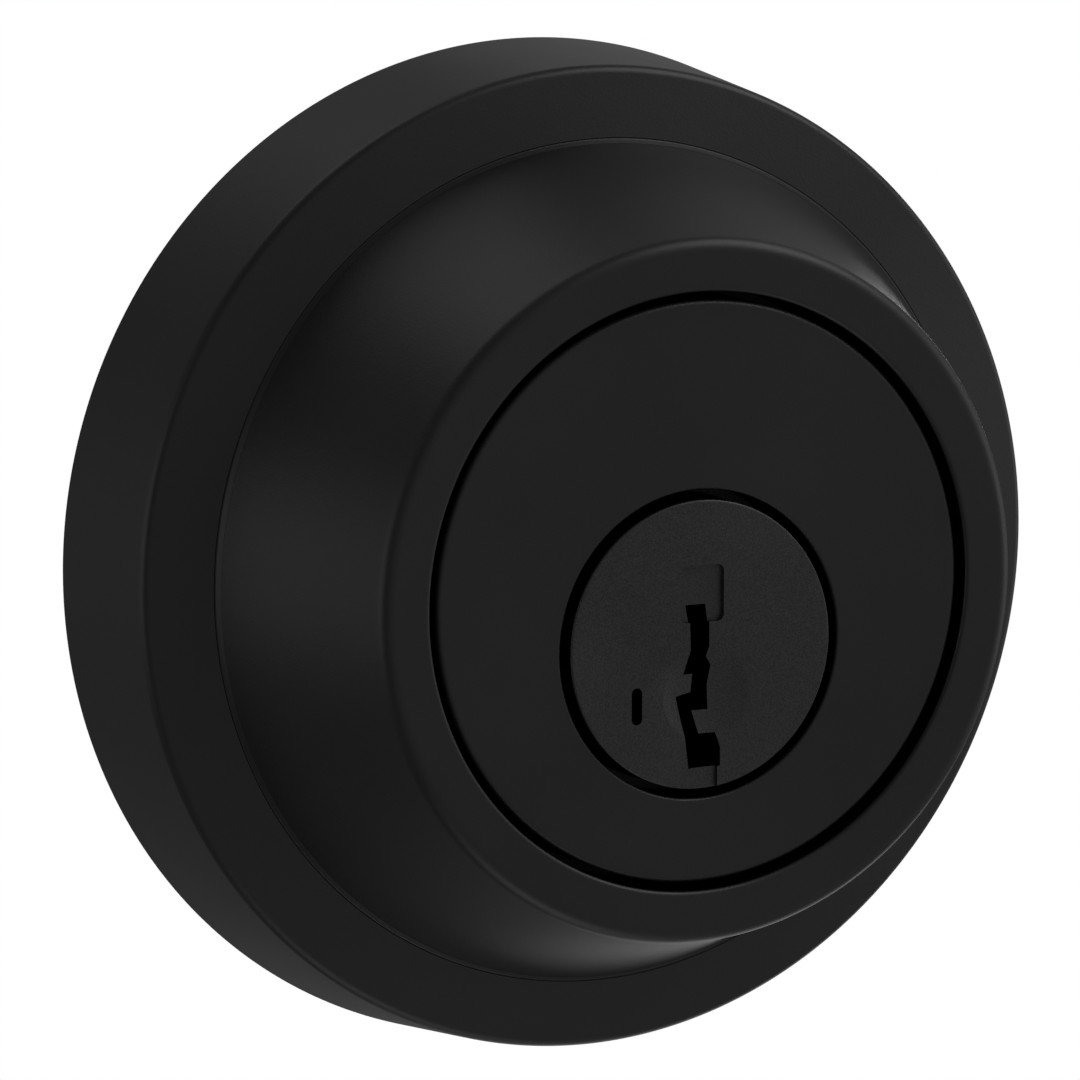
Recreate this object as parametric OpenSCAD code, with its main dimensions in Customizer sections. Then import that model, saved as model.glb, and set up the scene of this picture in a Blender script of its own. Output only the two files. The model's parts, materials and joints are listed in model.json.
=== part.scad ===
// Single-cylinder deadbolt: keyed cylinder behind a free-spinning guard collar outside,
// tubular latch with a 25.4 mm throw in the door, and a thumbturn inside.
// Frame: X points along the door towards its edge, Y through the door from outside
// to inside, Z up. The origin is on the door's outside face, on the cross-bore axis.
// Rest state: unlocked, bolt drawn back, no key in the plug, thumbturn upright.

/* [Door] */
// Thickness of the door
door_t = 44.45; // [44:0.05:45]
// Distance from the door's edge to the cross-bore axis
backset = 60.3; // [60:0.1:61]

/* [Rosette] */
// Radius of the rosette where it meets the door
rose_r = 33.35; // [33:0.05:34]
// Height of the rosette's outer front edge above the door
rose_h = 10.5; // [10.4:0.1:11]
// Height of the rosette's sloping front where it ends at the opening
lip_h = 11.5; // [11.2:0.1:11.8]
// Radius of the opening in the rosette's front
lip_r = 27.85; // [27.85:0.01:27.9]
// Thickness of the rosette's front wall
rose_wall = 2.2; // [2:0.1:2.3]

/* [Guard collar] */
// Height of the collar's front ring above the door
collar_h = 25.8; // [25.6:0.1:26.2]
// Outer radius of the collar at its front
collar_front_r = 23; // [22.8:0.1:23.2]
// Outer radius of the collar where it dips behind the rosette's lip
collar_foot_r = 27.78; // [27.7:0.01:27.8]
// Radius of the opening in the collar's front ring
collar_hole_r = 19.47; // [19.3:0.01:19.6]

/* [Cylinder] */
// Height of the cylinder's face above the door
face_h = 25.45; // [25.2:0.05:25.6]
// Radius of the cylinder's face
face_r = 18.9; // [18.6:0.1:19]
// Radius of the barrel that the collar spins on
barrel_r = 20; // [19.9:0.05:20]
// Distance from the door's outside face to the cylinder's rear face
body_rear = 8.4; // [8.2:0.1:8.5]

/* [Plug] */
// Height of the plug's axis above the cross-bore axis
plug_z = -3.4; // [-3.5:0.1:-3.3]
// Radius of the plug
plug_r = 9.4; // [9.3:0.05:9.4]
// Height of the plug's face above the door
plug_h = 25.65; // [25.5:0.05:25.8]
// Distance between neighbouring key pins
pin_pitch = 3.81; // [3.7:0.01:3.9]
// Distance from the plug's face to the first key pin
first_pin = 6.27; // [6.2:0.01:6.4]
// Distance that a key lifts a pin
pin_lift = 2.5; // [2.2:0.1:2.5]

/* [Latch] */
// Distance that the bolt travels
throw = 25.4; // [25:0.1:25.4]
// Outer radius of the latch tube, for a 25.4 mm edge bore
tube_r = 12.6; // [12.5:0.05:12.65]
// Height of the bolt
bolt_w = 20.8; // [20:0.1:20.8]
// Thickness of the bolt
bolt_t = 13; // [12:0.1:13]
// Distance between the two wood-screw holes of the faceplate
screw_gap = 41.3; // [41:0.1:42]

/* [Inside trim] */
// Distance from the bore axis to each mounting screw
post_z = 20.5; // [20:0.1:20.5]
// Radius of the inside rose where it meets the door
inner_rose_r = 33.35; // [33:0.05:34]
// Height of the inside rose's front edge above the door
inner_rose_h = 9.8; // [9.6:0.1:10]
// Length of the thumbturn's wing
wing_l = 40; // [34:0.5:44]
// Thickness of the thumbturn's wing at its middle
wing_t = 9; // [8:0.5:10]
// Height of the thumbturn above the door's inside face
wing_top = 31; // [28:0.5:34]

/* [Hidden] */
$fn = 64;
eps = 0.01;
fit = 0.05;
run = 0.08;
gap = 0.3;
rose_in_r = 30.9;
rose_under = rose_h - rose_wall;
rose_draft = 0.85;
rose_edge = 0.55;
lip_edge = 0.05;
rose_slope = atan2(lip_h - rose_h, rose_r - rose_draft - lip_r);
seat_r = 31;
seat_in_r = 30.3;
seat_h = 2.4;
foot_h = lip_h;
foot_fillet = 0.5;
foot_tilt = 30;
top_tilt = 10;
collar_flange_r = 29.5;
collar_flange_rear = 6.4;
collar_flange_front = 8;
core_r = 18.5;
washer_t = 0.4;
flange_back = 3.6;
flange_front = 5.7;
flange_r = 30.8;
barrel_top = 19;
counterbore_r = 10.06;
counterbore_h = 21.5;
adapter_r = 26.8;
adapter_in_r = 24.9;
adapter_l = 9.4;
drill_pin_r = 1.2;
drill_pin_l = 19.5;
drill_pin_at = [[-13.5, plug_z], [13.5, plug_z], [0, 13]];
post_r = 4;
screw_r = 2.4;

groove_r = 8;
clip_t = 1;
clip_r = 11;
clip_y = body_rear + 0.2;
cavity_y = 10.1;
cavity_r = 7.2;
plug_rear = 13.8;
pin_r = 1.32;
pin_hole_r = pin_r + run;
pin_foot = -0.8;
pin_top = 4.2;
ledge_z = -1;
cover_z = pin_top + pin_lift + 1.6;
cover_t = 0.7;
cover_w = 3;
pocket_front = 21.3;
pocket_rear = 1.7;
pocket_x = 4.4;
pocket_z = 3.9;
wafer_t = 1.4;
wafer_w = 2.5;
wafer_x = 1.4;
wafer_foot = 0.2;
sidebar_t = 2;
sidebar_in = 7.1;
sidebar_out = 9.2;
sidebar_travel = 0.8;
lug_a = 30;
tail_lug_at = 125;
blade_w = 7;
blade_t = 2.4;
slot_gap = 0.15;

latch_y = door_t / 2;
swing = 45;
drive_z = throw / 2;
drive_r = 1.4;
mismatch = 1.15;
fork_slot = 2 * (drive_r + mismatch) + gap;
fork_wall = 1.2;
fork_tip = 19;
fork_t = 3.2;
hub_r = 6.5;
journal_r = 5.6;
case_in = 6.9;
case_t = 1;
case_z = 9.8;
tongue_z = 8.4;
rivet_r = 1;
case_back = -21;
case_front = 27;
tube_wall = 0.8;
plate_t = 1.8;
face_t = 2.4;
plate_h = 57.2;
plate_w = 25.4;
corner = 6.35;
tube_end = backset - face_t - plate_t;
bolt_back = 22;
tip_bevel = 0.8;
window_gap = 0.3;
guide_x = 48;
guide_l = 6;
roller_r = 3;
roller_l = 31.5;
wood_screw_r = 2.2;
tail_in = 2;
tail_out = 3.4;
tail_low = 6.6;
tail_high = 11;
tail_plate_t = 1.5;
bolt_rivet_r = 1.2;
rivet_y = 3.5;
rivet_drop = 6.5;
rivet_at = [[-18.5, 6.5], [-18.5, -6.5], [17.5, -7.8]];

blade_end = door_t + 9;
inner_wall = 1.6;
thumb_hub_r = 9;
thumb_ring_h = 11.2;
thumb_groove_h = 7.3;
spindle_end = 14;
skirt_r = 12.5;
skirt_edge = 1.2;
crown_r = 34;
rose_screw_y = door_t + 4.5;
rose_screw_r = 1.2;

// Points of a circular arc in a turned profile.
function arc(r, h, size, from, to, steps = 6) =
    [for (i = [0:steps]) [r + size * cos(from + (to - from) * i / steps),
                          h + size * sin(from + (to - from) * i / steps)]];

// Height above the door of key pin k, counted from 1 at the plug's face.
// The point at a distance from start in the direction of an angle.
function towards(start, size, angle) = start + size * [cos(angle), sin(angle)];

function pin_h(k) = plug_h - first_pin - (k - 1) * pin_pitch;

// Local z points out of the door's outside face and local y points up.
module outside(h = 0, z = 0) {
    translate([0, -h, z]) rotate([90, 0, 0]) children();
}

// Local z points into the room and local y points down.
module inside(y = 0, z = 0) {
    translate([0, y, z]) rotate([-90, 0, 0]) children();
}

// Local z points along the bolt, towards the door's edge, and local y points up.
module along_bolt(x) {
    translate([x, latch_y, 0]) rotate([90, 0, 90]) children();
}

// Wedge-shaped lug between two radii, centred on an angle.
module lug(r0, r1, at, l) {
    rotate([0, 0, at]) intersection() {
        difference() {
            cylinder(r = r1, h = l);
            translate([0, 0, -eps]) cylinder(r = r0, h = l + 2 * eps);
        }
        linear_extrude(l)
            polygon([[0, 0], [2 * r1, -2 * r1 * tan(lug_a / 2)], [2 * r1, 2 * r1 * tan(lug_a / 2)]]);
    }
}

// Closely wound coil standing on z = 0.
module coil(r, wire, l) {
    turns = floor(l / (0.9 * 2 * wire));
    step = (l - 2 * wire) / (turns - 1);
    rotate_extrude() for (i = [0:turns - 1]) translate([r, wire + i * step]) circle(r = wire, $fn = 24);
}

// Retaining ring with a gap, for a groove of the given radius.
module split_ring(r) {
    difference() {
        cylinder(r = clip_r, h = clip_t);
        translate([0, 0, -1]) cylinder(r = r, h = clip_t + 2);
        translate([-3, 0, -1]) cube([6, 15, clip_t + 2]);
    }
}

// ---- exterior ----

module rosette() color([0.10, 0.10, 0.10]) outside() rotate_extrude($fn = 128) polygon(concat(
    [[seat_r, 0], [rose_r, 0]],
    arc(rose_r - rose_draft - rose_edge, rose_h - rose_edge, rose_edge, 5, 90 - rose_slope),
    arc(lip_r + lip_edge, lip_h - lip_edge, lip_edge, 90 - rose_slope, 180, 3),
    [[lip_r, rose_under], [rose_in_r, rose_under], [rose_in_r, flange_back - 0.1],
     [seat_in_r, flange_back - gap], [seat_in_r, seat_h + gap], [seat_r, seat_h]]));

module guard_collar() color([0.11, 0.11, 0.11]) outside() {
    lean = 90 - rose_slope;
    fillet = towards([collar_foot_r, foot_h], foot_fillet, lean);
    foot = towards(fillet, -foot_fillet, foot_tilt);
    top = towards([collar_front_r - 1, collar_h - 1], 1, top_tilt);
    chord = foot - top;
    flank = chord * chord / (2 * chord * towards([0, 0], 1, top_tilt));
    centre = towards(top, flank, top_tilt);
    rotate_extrude($fn = 128) polygon(concat(
        [[barrel_r + run, collar_flange_rear], [collar_flange_r, collar_flange_rear],
         [collar_flange_r, collar_flange_front], [collar_foot_r, collar_flange_front]],
        arc(fillet.x, fillet.y, foot_fillet, 180 + lean, 180 + foot_tilt + 4, 3),
        arc(centre.x, centre.y, flank, 180 + foot_tilt, 180 + top_tilt, 12),
        arc(collar_front_r - 1, collar_h - 1, 1, 0, 90),
        arc(collar_hole_r + 0.3, collar_h - 0.3, 0.3, 90, 180, 3),
        [[collar_hole_r, barrel_top + gap], [barrel_r + run, barrel_top + gap]]));
}

module cylinder_body() color([0.10, 0.10, 0.10]) difference() {
    outside() union() {
        rotate_extrude($fn = 128) polygon(concat(
            [[0, -body_rear], [core_r, -body_rear], [core_r, flange_back], [flange_r, flange_back],
             [flange_r, flange_front], [barrel_r, flange_front], [barrel_r, barrel_top],
             [face_r, barrel_top]],
            arc(face_r - 0.3, face_h - 0.3, 0.3, 0, 90, 3),
            [[0, face_h]]));
        for (side = [-1, 1])
            translate([0, side * post_z, -body_rear])
                cylinder(r = post_r, h = body_rear + flange_back + eps);
    }
    outside(-body_rear - 1, plug_z) cylinder(r = plug_r + fit, h = body_rear + face_h + 2);
    outside(counterbore_h, plug_z) cylinder(r = counterbore_r, h = 5);
    for (side = [-1, 1])
        outside(-body_rear - 1, side * post_z) cylinder(r = screw_r + fit, h = body_rear + 3.5);
    for (p = drill_pin_at)
        translate([p.x, 0, p.y]) outside(-body_rear - 1)
            cylinder(r = drill_pin_r + fit, h = body_rear + drill_pin_l + 1.5);
    translate([0, 0, plug_z]) for (turn = [0, 90, 180])
        rotate([0, turn, 0]) translate([-sidebar_out - sidebar_travel - 0.5, -21, -1.2]) cube([2, 19, 2.4]);
}

module collar_washer() color([0.85, 0.85, 0.80]) outside(flange_front) difference() {
    cylinder(r = collar_flange_r - 0.5, h = washer_t);
    translate([0, 0, -1]) cylinder(r = barrel_r + 0.4, h = 3);
}

module bore_adapter() color([0.20, 0.20, 0.22]) outside() rotate_extrude($fn = 128) polygon([
    [adapter_in_r, -adapter_l], [adapter_r, -adapter_l], [adapter_r, 0], [adapter_r - 0.8, 0],
    [adapter_r - 0.8, seat_h], [seat_in_r - 0.2, seat_h], [seat_in_r - 0.2, flange_back],
    [adapter_in_r, flange_back]]);

module drill_pin(k) color([0.55, 0.55, 0.58])
    translate([drill_pin_at[k - 1].x, 0, drill_pin_at[k - 1].y]) outside()
        cylinder(r = drill_pin_r, h = drill_pin_l);

// ---- plug ----

// Section of the keyway about the plug's axis: a slot with two side wards and a wide foot.
module keyway() {
    polygon([[-0.8, 2.6], [0.7, 2.6], [0.8, 1.5], [0.8, -0.2], [0.6, -0.8], [1, -1.5], [0.75, -2.8],
        [0.8, -4.5], [-0.4, -4.6], [0, -6.1], [1.2, -6.1], [1.5, -7.1], [1.5, -8.3], [-0.8, -8.35],
        [-1.1, -6], [-1.4, -4.6], [-1.55, -3.6], [-0.4, -3.4], [-0.3, -2], [-1, -2], [-0.6, -0.4],
        [-0.6, 1.5]]);
}

module plug() color([0.14, 0.14, 0.14]) outside(0, plug_z) difference() {
    rotate_extrude($fn = 128) polygon(concat(
        [[0, -plug_rear], [plug_r, -plug_rear], [plug_r, -body_rear - 1.3], [groove_r, -body_rear - 1.3],
         [groove_r, -body_rear - 0.1], [plug_r, -body_rear - 0.1]],
        arc(plug_r - 0.25, plug_h - 0.25, 0.25, 0, 90, 3),
        [[0, plug_h]]));
    translate([0, 0, -6]) linear_extrude(plug_h + 7) keyway();
    translate([0.35, 3.5, plug_h - 0.5]) linear_extrude(1) square([3.1, 3.7], center = true);
    translate([0.35, -3.25, plug_h - 0.2]) cylinder(r = 3.2, h = 1);
    translate([-4.5, -4.2, pocket_front - 1]) linear_extrude(5.5) hull() for (s = [-1, 1])
        translate([0, 0.85 * s]) circle(r = 0.4, $fn = 32);
    for (k = [1:5])
        translate([0, ledge_z, pin_h(k)]) rotate([-90, 0, 0]) cylinder(r = pin_hole_r, h = 12);
    translate([-cover_w / 2, cover_z, pocket_rear]) cube([cover_w, 3, pocket_front - pocket_rear]);
    translate([-12, -pocket_z, pocket_rear]) cube([12 - pocket_x, 2 * pocket_z, pocket_front - pocket_rear]);
    for (k = [1:5])
        translate([-pocket_x - eps, -0.2, pin_h(k) - wafer_t / 2 - 0.2])
            cube([pocket_x - 1 + eps, 7.2, wafer_t + 0.4]);
    difference() {
        translate([0, 0, -plug_rear - 1]) cylinder(r = cavity_r, h = plug_rear - cavity_y + 1);
        translate([0, 0, -12.4]) lug(4.4, cavity_r + 1, 0, 3);
    }
}

// Half-round cover of the plug's side pocket, with the sidebar's slot.
module plug_cassette() color([0.72, 0.60, 0.30]) outside(0, plug_z) difference() {
    intersection() {
        translate([0, 0, pocket_rear + 0.05])
            cylinder(r = plug_r - 0.02, h = pocket_front - pocket_rear - 0.1, $fn = 128);
        translate([-12, -pocket_z + 0.05, 0]) cube([12 - sidebar_in + 0.2, 2 * pocket_z - 0.1, 30]);
    }
    translate([-12, -sidebar_t / 2 - 0.12, 2.1]) cube([8, sidebar_t + 0.24, 18.8]);
}

module spring_cover() color([0.72, 0.60, 0.30]) outside(0, plug_z)
    translate([-cover_w / 2 + 0.02, cover_z, pocket_rear + 0.05])
        cube([cover_w - 0.04, cover_t, pocket_front - pocket_rear - 0.1]);

module plug_clip() color([0.70, 0.70, 0.72]) inside(clip_y, plug_z) split_ring(groove_r + fit);

module tail_retainer() color([0.70, 0.70, 0.72]) inside(12.6, plug_z) difference() {
    cylinder(r = cavity_r, h = 1);
    translate([0, 0, -1]) cylinder(r = 4.5, h = 3);
}

module carriage() color([0.75, 0.63, 0.35]) outside(0, plug_z) difference() {
    translate([-6.7, -3.6, 3.1]) cube([2.1, 7.2, 17.8]);
    for (k = [1:5])
        translate([-7, -4, pin_h(k) - 0.8]) cube([1.3, 8, 1.6]);
}

module sidebar() color([0.75, 0.63, 0.35]) outside(0, plug_z)
    translate([-sidebar_out, -sidebar_t / 2, 2.4]) cube([sidebar_out - sidebar_in, sidebar_t, 18.2]);

module key_pin(k) color([0.80, 0.66, 0.34]) translate([0, -pin_h(k), plug_z]) rotate_extrude()
    polygon([[0, pin_foot], [0.5, pin_foot], [pin_r, pin_foot + 0.8], [pin_r, 2], [1.02, 2], [1.02, 2.6],
        [pin_r, 2.6], [pin_r, pin_top], [0, pin_top]]);

module wafer(k) color([0.75, 0.63, 0.35]) translate([0, -pin_h(k), plug_z]) {
    translate([-wafer_x - wafer_w, -wafer_t / 2, wafer_foot]) cube([wafer_w, wafer_t, 4]);
    translate([-wafer_x - eps, -wafer_t / 2 + 0.3, 2.05]) cube([0.35, wafer_t - 0.6, 0.5]);
}

module pin_spring(k) color([0.75, 0.75, 0.78]) translate([0, -pin_h(k), plug_z + pin_top])
    coil(0.95, 0.18, cover_z - pin_top);

// ---- tailpiece and latch ----

module tailpiece() color([0.62, 0.62, 0.65]) {
    inside(cavity_y + 0.2, plug_z) {
        cylinder(r = 3.9, h = 2.1);
        translate([0, 0, 0.2]) lug(3.2, 6.9, tail_lug_at, 1.7);
    }
    translate([-blade_t / 2, cavity_y + 2, plug_z - blade_w / 2])
        cube([blade_t, blade_end - cavity_y - 2, blade_w]);
}

module case_side(side) color([0.72, 0.72, 0.74]) difference() {
    y0 = latch_y + (side > 0 ? case_in : -case_in - case_t);
    translate([0, y0, 0]) union() {
        translate([case_back, 0, -case_z]) cube([case_front - case_back, case_t, 2 * case_z]);
        translate([case_front - eps, 0, -tongue_z]) cube([6, case_t, 2 * tongue_z]);
    }
    inside(y0 - 1, plug_z) cylinder(r = journal_r + run, h = case_t + 2);
    for (p = rivet_at)
        translate([p.x, 0, 0]) inside(y0 - 1, p.y) cylinder(r = rivet_r, h = case_t + 2);
}

module case_rivet(k) color([0.70, 0.70, 0.72]) translate([rivet_at[k - 1].x, latch_y, rivet_at[k - 1].y])
    rotate([90, 0, 0]) {
        cylinder(r = rivet_r + 0.5, h = 2 * case_in, center = true);
        cylinder(r = rivet_r, h = 2 * (case_in + case_t), center = true);
    }

// Outline of the bolt's section, grown by a clearance.
module bolt_section(grow = 0) {
    intersection() {
        circle(r = bolt_w / 2 + grow, $fn = 96);
        square([bolt_t + 2 * grow, bolt_w + 4], center = true);
    }
}

module latch_tube() color([0.72, 0.72, 0.74]) along_bolt(case_front + 0.01) difference() {
    cylinder(r = tube_r, h = tube_end - case_front - 0.01, $fn = 96);
    translate([0, 0, -1]) cylinder(r = tube_r - tube_wall, h = 50, $fn = 96);
}

module bolt_guide() color([0.90, 0.90, 0.86]) along_bolt(guide_x) difference() {
    cylinder(r = tube_r - tube_wall - 0.02, h = guide_l, $fn = 96);
    translate([0, 0, -1]) linear_extrude(guide_l + 2) bolt_section(window_gap);
}

// Rounded plate on the door's edge with the bolt's window and two screw holes.
module edge_plate(t) {
    difference() {
        linear_extrude(t) union() {
            square([plate_w, plate_h - 2 * corner], center = true);
            square([plate_w - 2 * corner, plate_h], center = true);
            for (sx = [-1, 1]) for (sy = [-1, 1])
                translate([sx * (plate_w / 2 - corner), sy * (plate_h / 2 - corner)]) circle(r = corner);
        }
        translate([0, 0, -1]) linear_extrude(t + 2) bolt_section(window_gap);
        for (side = [-1, 1])
            translate([0, side * screw_gap / 2, -1]) cylinder(r = wood_screw_r, h = t + 2);
    }
}

module backing_plate() color([0.72, 0.72, 0.74]) along_bolt(tube_end) edge_plate(plate_t);

module faceplate() color([0.10, 0.10, 0.10]) along_bolt(backset - face_t) difference() {
    edge_plate(face_t);
    for (side = [-1, 1])
        translate([0, side * screw_gap / 2, face_t - 1.8]) cylinder(r1 = wood_screw_r, r2 = 4.3, h = 2);
}

module bolt() color([0.80, 0.80, 0.82]) along_bolt(bolt_back) difference() {
    l = backset - bolt_back;
    intersection() {
        linear_extrude(l) bolt_section();
        rotate_extrude($fn = 96) polygon([[0, 0], [bolt_w / 2, 0], [bolt_w / 2, l - tip_bevel],
            [bolt_w / 2 - tip_bevel, l], [0, l]]);
    }
    translate([0, 0, -1]) cylinder(r = roller_r + 0.1, h = roller_l + 1.5);
    for (side = [-1, 1])
        translate([side * rivet_y, -rivet_drop, -1]) cylinder(r = bolt_rivet_r + fit, h = 9);
}

module bolt_roller() color([0.60, 0.60, 0.63]) along_bolt(bolt_back + 0.1)
    cylinder(r = roller_r, h = roller_l);

module bolt_rivet(side) color([0.70, 0.70, 0.72])
    along_bolt(bolt_back - tail_plate_t - 0.8) translate([side * rivet_y, -rivet_drop, 0]) {
        cylinder(r = 2, h = 0.8);
        cylinder(r = bolt_rivet_r, h = 9);
    }

module bolt_tail() color([0.72, 0.72, 0.74]) difference() {
    drive_x = -throw / 2;
    translate([0, latch_y, 0]) union() {
        for (side = [-1, 1])
            translate([drive_x - 3, side > 0 ? tail_in : -tail_out, tail_low])
                cube([bolt_back - drive_x + 3, tail_out - tail_in, tail_high - tail_low]);
        translate([drive_x + 10, -tail_out, tail_low])
            cube([bolt_back - drive_x - 10, 2 * tail_out, tail_high - tail_low]);
        translate([bolt_back - tail_plate_t, -5.8, -9]) cube([tail_plate_t, 11.6, 16]);
    }
    translate([drive_x, latch_y + 5, plug_z + drive_z]) rotate([90, 0, 0]) cylinder(r = drive_r, h = 10);
    for (side = [-1, 1])
        along_bolt(bolt_back - 3) translate([side * rivet_y, -rivet_drop, 0])
            cylinder(r = bolt_rivet_r + fit, h = 5);
}

module drive_pin() color([0.70, 0.70, 0.72]) translate([-throw / 2, latch_y, plug_z + drive_z])
    rotate([90, 0, 0]) cylinder(r = drive_r, h = 2 * tail_out, center = true);

module cam() color([0.72, 0.72, 0.74]) outside(-latch_y, plug_z) difference() {
    union() {
        cylinder(r = journal_r, h = 2 * (case_in + case_t), center = true);
        cylinder(r = hub_r, h = 2 * (case_in - 0.2), center = true);
        linear_extrude(fork_t, center = true) rotate(swing) intersection() {
            circle(r = fork_tip, $fn = 96);
            translate([-fork_slot / 2 - fork_wall, 0]) square([fork_slot + 2 * fork_wall, 30]);
        }
    }
    linear_extrude(fork_t + 2, center = true) rotate(swing)
        translate([-fork_slot / 2, drive_z - drive_r - gap - 0.1]) square([fork_slot, 30]);
    cube([blade_t + 2 * slot_gap, blade_w + 2 * slot_gap, 30], center = true);
}

module detent_spring() color([0.75, 0.75, 0.78]) outside(-latch_y) linear_extrude(4, center = true) polygon([
    [-16.9, -6.5], [-16, -6.5], [-13, -9.6], [-8, -10.5], [8, -10.5], [15, -9.6], [18, -9.4],
    [18, -9.9], [15, -10.1], [8, -11], [-8, -11], [-13.3, -10.1], [-16.9, -7]]);

// ---- interior ----

module mount_plate() color([0.72, 0.72, 0.74]) difference() {
    inside(door_t, plug_z) cylinder(r = 30.5, h = plate_t, $fn = 96);
    inside(door_t - 1, plug_z) cylinder(r = 8.4, h = plate_t + 2);
    for (side = [-1, 1])
        inside(door_t - 1, side * post_z) cylinder(r = screw_r + 0.2, h = plate_t + 2);
}

// Screw with a cross recess, whose shank ends in the threaded post of the cylinder.
module mount_screw(side) color([0.70, 0.70, 0.72]) inside(0, side * post_z) difference() {
    seat = door_t + plate_t;
    union() {
        translate([0, 0, -1.5]) cylinder(r = screw_r, h = seat + 2);
        translate([0, 0, seat]) cylinder(r1 = 4.2, r2 = 3.4, h = 2.2);
    }
    for (turn = [0, 90])
        rotate([0, 0, turn]) translate([-2.4, -0.45, seat + 0.9]) cube([4.8, 0.9, 2]);
}

module interior_rose() color([0.10, 0.10, 0.10]) difference() {
    inside(door_t, plug_z) rotate_extrude($fn = 128) polygon(concat(
        [[inner_rose_r - inner_wall, 0], [inner_rose_r, 0]],
        arc(inner_rose_r - 2.45, inner_rose_h - 1.5, 1.5, 0, 90),
        [[15, 10.5], [13.5, thumb_ring_h], [thumb_hub_r + run, thumb_ring_h], [thumb_hub_r + run, 9.4],
         [14.5, 8.8], [inner_rose_r - 2.7, inner_rose_h - inner_wall],
         [inner_rose_r - 2.4, inner_rose_h - inner_wall - 0.8]]));
    translate([0, rose_screw_y, plug_z - inner_rose_r - 1]) cylinder(r = rose_screw_r + fit, h = 5);
}

module rose_screw() color([0.30, 0.30, 0.32])
    translate([0, rose_screw_y, plug_z - inner_rose_r + 0.7]) cylinder(r = rose_screw_r, h = 2.1);

// Lens-shaped wing on a round skirt, with a grooved hub that turns in the interior rose.
module thumbturn() color([0.10, 0.10, 0.10]) inside(door_t, plug_z) difference() {
    bow = (wing_l * wing_l + wing_t * wing_t) / (4 * wing_t);
    union() {
        translate([0, 0, 5.5]) cylinder(r = thumb_hub_r, h = 8);
        translate([0, 0, thumb_ring_h + gap]) rotate_extrude() polygon(concat(
            [[0, 0], [skirt_r, 0]], arc(skirt_r - skirt_edge, 3 - skirt_edge, skirt_edge, 0, 90), [[0, 3]]));
        intersection() {
            linear_extrude(wing_top) intersection() {
                translate([bow - wing_t / 2, 0]) circle(r = bow, $fn = 96);
                translate([-bow + wing_t / 2, 0]) circle(r = bow, $fn = 96);
            }
            translate([0, 0, wing_top - crown_r]) rotate([0, 90, 0])
                cylinder(r = crown_r, h = 20, center = true, $fn = 96);
            translate([-10, -30, thumb_ring_h + 2]) cube([20, 60, 30]);
        }
    }
    translate([0, 0, 5]) cylinder(r = journal_r, h = spindle_end - 5);
    difference() {
        translate([0, 0, thumb_groove_h]) cylinder(r = clip_r + 1, h = clip_t + 0.2);
        translate([0, 0, thumb_groove_h - 1]) cylinder(r = groove_r + 0.2, h = 4);
    }
}

module thumb_spindle() color([0.70, 0.70, 0.72]) inside(door_t, plug_z) difference() {
    union() {
        translate([0, 0, 2.6]) cylinder(r = journal_r - 0.02, h = spindle_end - 2.7);
        translate([0, 0, 3.6]) cylinder(r = 7.8, h = 1.6);
    }
    translate([0, 0, 5]) cube([blade_t + 2 * slot_gap, blade_w + 2 * slot_gap, 10], center = true);
}

module thumb_clip() color([0.70, 0.70, 0.72])
    inside(door_t + thumb_groove_h + 0.1, plug_z) split_ring(groove_r + 0.25);

rosette();
guard_collar();
cylinder_body();
collar_washer();
bore_adapter();
drill_pin(1);  // drill_pin_1
drill_pin(2);  // drill_pin_2
drill_pin(3);  // drill_pin_3
plug();
plug_cassette();
spring_cover();
plug_clip();
tail_retainer();
carriage();
sidebar();
key_pin(1);  // key_pin_1
key_pin(2);  // key_pin_2
key_pin(3);  // key_pin_3
key_pin(4);  // key_pin_4
key_pin(5);  // key_pin_5
wafer(1);  // wafer_1
wafer(2);  // wafer_2
wafer(3);  // wafer_3
wafer(4);  // wafer_4
wafer(5);  // wafer_5
pin_spring(1);  // pin_spring_1
pin_spring(2);  // pin_spring_2
pin_spring(3);  // pin_spring_3
pin_spring(4);  // pin_spring_4
pin_spring(5);  // pin_spring_5
case_side(-1);  // case_side_outer
case_side(1);  // case_side_inner
case_rivet(1);  // case_rivet_1
case_rivet(2);  // case_rivet_2
case_rivet(3);  // case_rivet_3
latch_tube();
bolt_guide();
backing_plate();
faceplate();
bolt();
bolt_tail();
drive_pin();
bolt_roller();
bolt_rivet(1);  // bolt_rivet_1
bolt_rivet(-1);  // bolt_rivet_2
cam();
detent_spring();
tailpiece();
mount_plate();
mount_screw(1);  // mount_screw_top
mount_screw(-1);  // mount_screw_bottom
interior_rose();
rose_screw();
thumbturn();
thumb_spindle();
thumb_clip();
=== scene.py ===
"""Looks of a matte black keyed deadbolt: turned trim, a machined key plug and a plated tubular latch.

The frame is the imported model: X towards the door's edge, Y through the door, Z up, in metres.
Sizes below are in millimetres, as in the part's own source, and h is a height above the door's outside face.
"""

import json
import math

import bmesh
import bpy
from mathutils import Matrix, Vector

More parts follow.
